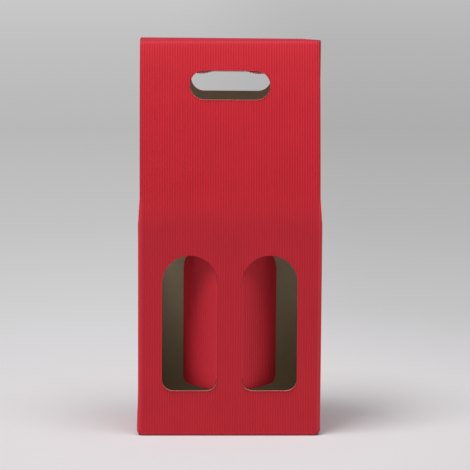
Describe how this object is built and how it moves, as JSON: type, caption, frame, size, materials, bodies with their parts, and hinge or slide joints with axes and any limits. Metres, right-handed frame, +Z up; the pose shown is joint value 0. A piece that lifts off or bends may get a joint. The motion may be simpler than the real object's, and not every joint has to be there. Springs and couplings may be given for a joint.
{
  "type": "bottle shipping box",
  "caption": "Tall carry box of open fluted board for bottles, with arched front windows, inward window flaps, bowed panels and a slot handle at the ridge.",
  "frame": {"origin": "middle of the base, on the surface that the box stands on", "axes": "+Z up, -Y towards the window side, +X to the right seen from the front"},
  "size_m": [0.1748, 0.0912, 0.376],
  "materials": {
    "red_fluted_board": "matt red flutes outside, brown kraft liner inside"
  },
  "bodies": {
    "carton": {"carton": "red_fluted_board"},
    "window_flap_left": {"window_flap_left": "red_fluted_board"},
    "window_flap_right": {"window_flap_right": "red_fluted_board"},
    "handle_flap_front": {"handle_flap_front": "red_fluted_board"},
    "handle_flap_back": {"handle_flap_back": "red_fluted_board"}
  },
  "joints": [
    {"name": "window_flap_left_fold", "type": "hinge", "parent": "carton", "child": "window_flap_left", "pos_m": [-0.0116, -0.0444, 0.1098], "axis": [0, 0, -1], "range_deg": [-52, 40]},
    {"name": "window_flap_right_fold", "type": "hinge", "parent": "carton", "child": "window_flap_right", "pos_m": [0.0116, -0.0444, 0.1098], "axis": [0, 0, 1], "range_deg": [-52, 40]},
    {"name": "handle_flap_front_fold", "type": "hinge", "parent": "carton", "child": "handle_flap_front", "pos_m": [0, -0.01333, 0.34686], "axis": [1, 0, 0], "range_deg": [-100, 2]},
    {"name": "handle_flap_back_fold", "type": "hinge", "parent": "carton", "child": "handle_flap_back", "pos_m": [0, 0.01447, 0.34723], "axis": [1, 0, 0], "range_deg": [-62, 60]}
  ]
}
